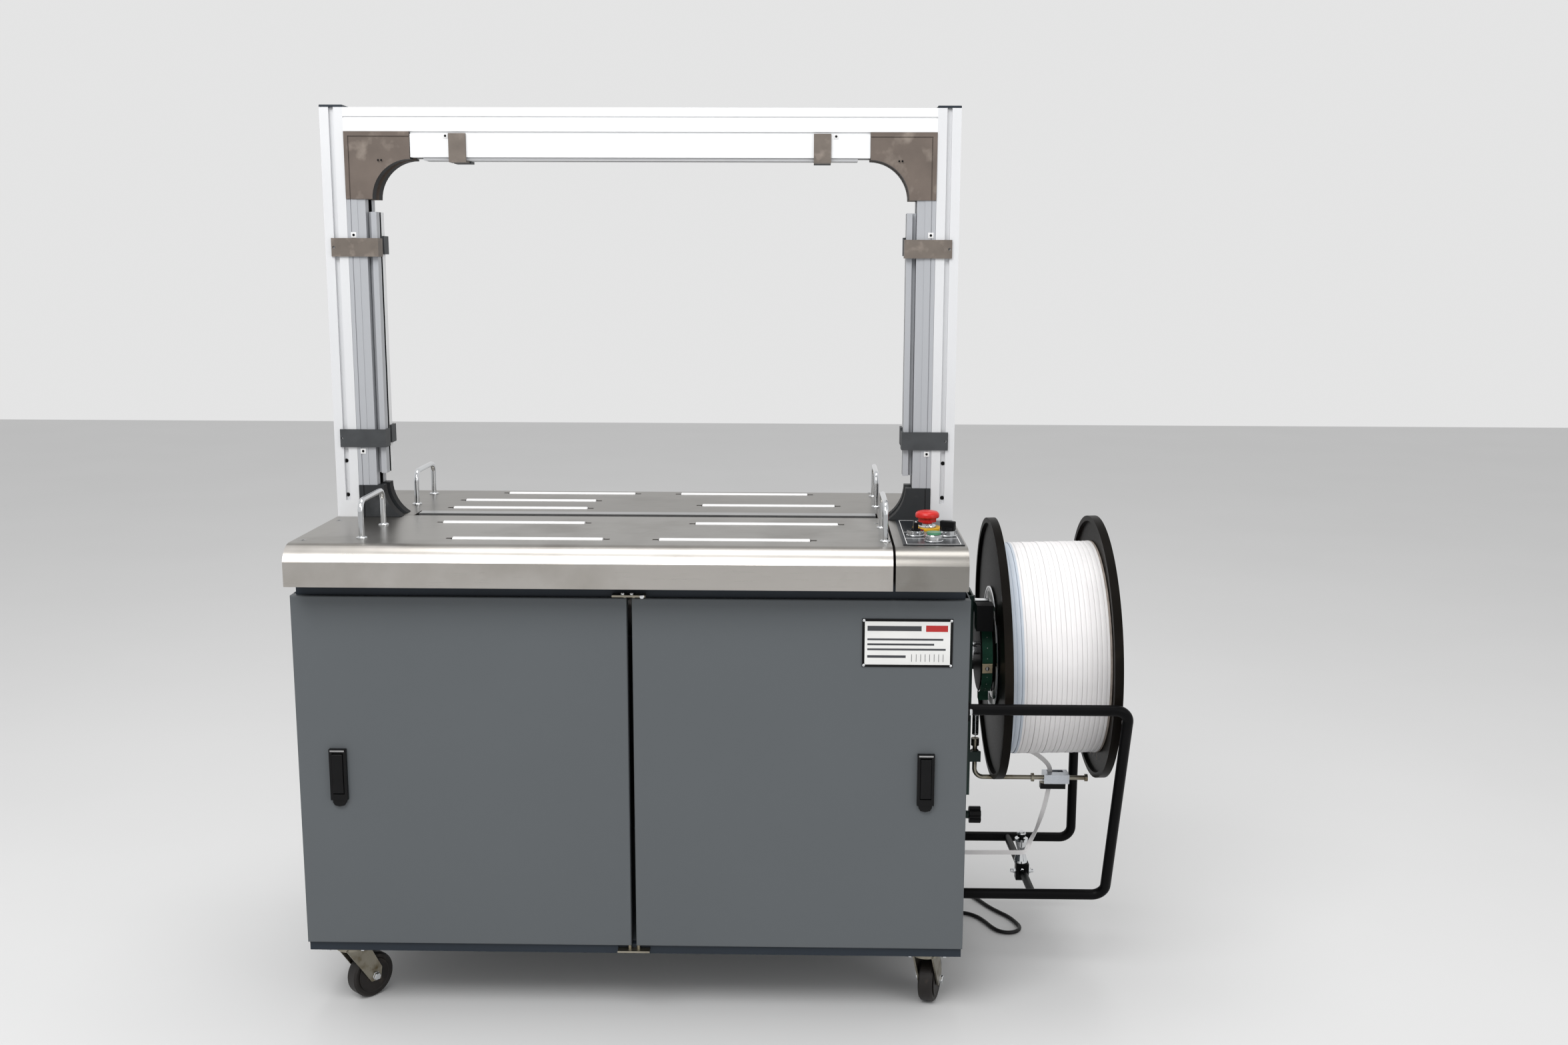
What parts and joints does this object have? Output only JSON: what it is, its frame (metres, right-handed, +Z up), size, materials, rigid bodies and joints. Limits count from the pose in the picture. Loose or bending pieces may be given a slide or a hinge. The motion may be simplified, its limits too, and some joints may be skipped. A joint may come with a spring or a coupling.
{
  "type": "arch strapping machine",
  "caption": "Box strapping machine: cabinet on casters with two doors, roller table, slotted strap arch, control box, side reel with brake and guide.",
  "frame": {"origin": "middle of the bounding box on the floor, the mains lead left out", "axes": "+Z up, +X to the operator's right, -Y to the operator at the control side"},
  "size_m": [1.327, 0.832, 1.469],
  "materials": {
    "dark_paint": "satin dark blue-grey paint",
    "grey_paint": "satin grey paint",
    "door_paint": "satin grey paint",
    "zinc": "zinc plated",
    "label": "white plate in a black frame",
    "black_plastic": "moulded plastic",
    "stainless": "brushed stainless sheet",
    "chrome": "polished",
    "panel": "printed legend plate",
    "red_plastic": "moulded",
    "green_plastic": "moulded",
    "aluminium": "anodised",
    "grey_plastic": "moulded, scuffed",
    "clip_rubber": "moulded",
    "steel": "machined",
    "green_paint": "dark green paint",
    "belt": "woven belt",
    "black_gloss": "glossy black",
    "strap": "wound polypropylene strap",
    "black_paint": "black powder coat",
    "wheel": "dark wheel",
    "roller_metal": "turned",
    "cord": "sheath"
  },
  "bodies": {
    "machine": {"base_frame": "dark_paint", "cabinet_shell": "grey_paint", "top_frame": "dark_paint", "hinge_plates": "zinc", "front_table_cover": "stainless", "rear_table_cover": "stainless", "guard_handles": "chrome", "control_box": "stainless", "control_plate": "panel", "arch_frame": "aluminium", "corner_brackets": "grey_plastic", "chute_rails": "aluminium", "rear_clips": "clip_rubber", "strapping_head": "steel", "reel_bracket": "green_paint", "brake_band": "belt", "reel_stand": "black_paint", "strap_run": "strap", "cord_gland": "black_plastic", "power_cord": "cord", "power_cord_coil": "cord", "power_plug": "black_plastic"},
    "left_door_body": {"left_door": "door_paint"},
    "right_door_body": {"right_door": "door_paint", "nameplate": "label"},
    "left_lever": {"left_latch_handle": "black_plastic"},
    "right_lever": {"right_latch_handle": "black_plastic"},
    "left_flap_body": {"left_flap": "aluminium", "left_clips": "clip_rubber"},
    "right_flap_body": {"right_flap": "aluminium", "right_clips": "clip_rubber"},
    "top_flap_body": {"top_flap": "aluminium", "top_clips": "clip_rubber"},
    "stop_body": {"estop_button": "red_plastic"},
    "start_body": {"start_button": "green_plastic"},
    "toggle_body": {"toggle_lever": "black_plastic"},
    "dial_body": {"selector_knob": "black_plastic"},
    "arm_body": {"dancer_arm": "zinc", "dancer_spring": "zinc"},
    "knob_body": {"tension_knob": "black_plastic"},
    "reel_body": {"reel_spool": "black_gloss", "strap_roll": "strap"},
    "guide_body": {"guide_roller": "chrome"},
    "fork_front_left": {"caster_fork_front_left": "zinc"},
    "wheel_front_left": {"caster_wheel_front_left": "wheel"},
    "fork_front_right": {"caster_fork_front_right": "zinc"},
    "wheel_front_right": {"caster_wheel_front_right": "wheel"},
    "fork_rear_left": {"caster_fork_rear_left": "zinc"},
    "wheel_rear_left": {"caster_wheel_rear_left": "wheel"},
    "fork_rear_right": {"caster_fork_rear_right": "zinc"},
    "wheel_rear_right": {"caster_wheel_rear_right": "wheel"},
    "roller_body_1": {"table_roller_1": "roller_metal"},
    "roller_body_2": {"table_roller_2": "roller_metal"},
    "roller_body_3": {"table_roller_3": "roller_metal"},
    "roller_body_4": {"table_roller_4": "roller_metal"},
    "roller_body_5": {"table_roller_5": "roller_metal"},
    "roller_body_6": {"table_roller_6": "roller_metal"},
    "roller_body_7": {"table_roller_7": "roller_metal"},
    "roller_body_8": {"table_roller_8": "roller_metal"},
    "roller_body_9": {"table_roller_9": "roller_metal"}
  },
  "joints": [
    {"name": "left_door_hinge", "type": "hinge", "parent": "machine", "child": "left_door_body", "pos_m": [-0.1395, -0.25, 0.415], "axis": [0, 0, 1], "range_deg": [0, 80]},
    {"name": "right_door_hinge", "type": "hinge", "parent": "machine", "child": "right_door_body", "pos_m": [-0.1255, -0.25, 0.415], "axis": [0, 0, -1], "range_deg": [0, 80]},
    {"name": "left_latch_lift", "type": "hinge", "parent": "left_door_body", "child": "left_lever", "pos_m": [-0.5985, -0.2612, 0.446], "axis": [-1, 0, 0], "range_deg": [0, 50]},
    {"name": "right_latch_lift", "type": "hinge", "parent": "right_door_body", "child": "right_lever", "pos_m": [0.3335, -0.2612, 0.446], "axis": [-1, 0, 0], "range_deg": [0, 50]},
    {"name": "left_flap_open", "type": "hinge", "parent": "machine", "child": "left_flap_body", "pos_m": [-0.6405, -0.03, 1.082], "axis": [0, 0, -1], "range_deg": [0, 5], "stiffness_Nm_per_rad": 2},
    {"name": "right_flap_open", "type": "hinge", "parent": "machine", "child": "right_flap_body", "pos_m": [0.3755, -0.03, 1.082], "axis": [0, 0, 1], "range_deg": [0, 5], "stiffness_Nm_per_rad": 2},
    {"name": "top_flap_open", "type": "hinge", "parent": "machine", "child": "top_flap_body", "pos_m": [-0.1325, -0.03, 1.423], "axis": [-1, 0, 0], "range_deg": [0, 8], "stiffness_Nm_per_rad": 2},
    {"name": "dancer_swing", "type": "hinge", "parent": "machine", "child": "arm_body", "pos_m": [0.4405, 0.01, 0.367], "axis": [0, 1, 0], "range_deg": [0, 14], "stiffness_Nm_per_rad": 3, "springref_deg": -5.73, "deforming": ["dancer_spring"]},
    {"name": "stop_press", "type": "slide", "parent": "machine", "child": "stop_body", "axis": [0, 0, -1], "range_m": [0, 0.005]},
    {"name": "start_press", "type": "slide", "parent": "machine", "child": "start_body", "axis": [0, 0, -1], "range_m": [0, 0.002], "stiffness_N_per_m": 400, "springref_m": -0.0005},
    {"name": "toggle_turn", "type": "hinge", "parent": "machine", "child": "toggle_body", "pos_m": [0.3155, -0.182, 0.8], "axis": [0, 0, 1], "range_deg": [-45, 45]},
    {"name": "dial_turn", "type": "hinge", "parent": "machine", "child": "dial_body", "pos_m": [0.3665, -0.182, 0.8], "axis": [0, 0, 1], "range_deg": [-60, 120]},
    {"name": "tension_turn", "type": "hinge", "parent": "machine", "child": "knob_body", "pos_m": [0.4405, 0.01, 0.256], "axis": [1, 0, 0], "range_deg": [-180, 180]},
    {"name": "swivel_front_left", "type": "hinge", "parent": "machine", "child": "fork_front_left", "pos_m": [-0.6085, -0.205, 0.1], "axis": [0, 0, 1], "continuous": true},
    {"name": "roll_front_left", "type": "hinge", "parent": "fork_front_left", "child": "wheel_front_left", "pos_m": [-0.58729, -0.17972, 0.038], "axis": [0.766, -0.6428, 0], "continuous": true},
    {"name": "swivel_front_right", "type": "hinge", "parent": "machine", "child": "fork_front_right", "pos_m": [0.3435, -0.205, 0.1], "axis": [0, 0, 1], "continuous": true},
    {"name": "roll_front_right", "type": "hinge", "parent": "fork_front_right", "child": "wheel_front_right", "pos_m": [0.3537, -0.17362, 0.038], "axis": [0.9511, -0.309, 0], "continuous": true},
    {"name": "swivel_rear_left", "type": "hinge", "parent": "machine", "child": "fork_rear_left", "pos_m": [-0.6085, 0.205, 0.1], "axis": [0, 0, 1], "continuous": true},
    {"name": "roll_rear_left", "type": "hinge", "parent": "fork_rear_left", "child": "wheel_rear_left", "pos_m": [-0.62245, 0.23491, 0.038], "axis": [0.9063, 0.4226, 0], "continuous": true},
    {"name": "swivel_rear_right", "type": "hinge", "parent": "machine", "child": "fork_rear_right", "pos_m": [0.3435, 0.205, 0.1], "axis": [0, 0, 1], "continuous": true},
    {"name": "roll_rear_right", "type": "hinge", "parent": "fork_rear_right", "child": "wheel_rear_right", "pos_m": [0.36243, 0.23203, 0.038], "axis": [0.8192, -0.5736, 0], "continuous": true},
    {"name": "reel_spin", "type": "hinge", "parent": "machine", "child": "reel_body", "pos_m": [0.4285, 0.01, 0.56], "axis": [0.9997, 0, 0.0262], "continuous": true},
    {"name": "guide_spin", "type": "hinge", "parent": "machine", "child": "guide_body", "pos_m": [0.5285, 0.02, 0.187], "axis": [0, 0, 1], "continuous": true},
    {"name": "roller_spin_1", "type": "hinge", "parent": "machine", "child": "roller_body_1", "pos_m": [-0.297, 0.245, 0.7845], "axis": [1, 0, 0], "continuous": true},
    {"name": "roller_spin_2", "type": "hinge", "parent": "machine", "child": "roller_body_2", "pos_m": [-0.3585, 0.158, 0.7845], "axis": [1, 0, 0], "continuous": true},
    {"name": "roller_spin_3", "type": "hinge", "parent": "machine", "child": "roller_body_3", "pos_m": [-0.3615, 0.073, 0.7845], "axis": [1, 0, 0], "continuous": true},
    {"name": "roller_spin_4", "type": "hinge", "parent": "machine", "child": "roller_body_4", "pos_m": [0.025, 0.245, 0.7845], "axis": [1, 0, 0], "continuous": true},
    {"name": "roller_spin_5", "type": "hinge", "parent": "machine", "child": "roller_body_5", "pos_m": [0.074, 0.113, 0.7845], "axis": [1, 0, 0], "continuous": true},
    {"name": "roller_spin_6", "type": "hinge", "parent": "machine", "child": "roller_body_6", "pos_m": [-0.3435, -0.078, 0.7845], "axis": [1, 0, 0], "continuous": true},
    {"name": "roller_spin_7", "type": "hinge", "parent": "machine", "child": "roller_body_7", "pos_m": [-0.2935, -0.225, 0.7845], "axis": [1, 0, 0], "continuous": true},
    {"name": "roller_spin_8", "type": "hinge", "parent": "machine", "child": "roller_body_8", "pos_m": [0.0765, -0.078, 0.7845], "axis": [1, 0, 0], "continuous": true},
    {"name": "roller_spin_9", "type": "hinge", "parent": "machine", "child": "roller_body_9", "pos_m": [0.0305, -0.225, 0.7845], "axis": [1, 0, 0], "continuous": true}
  ]
}
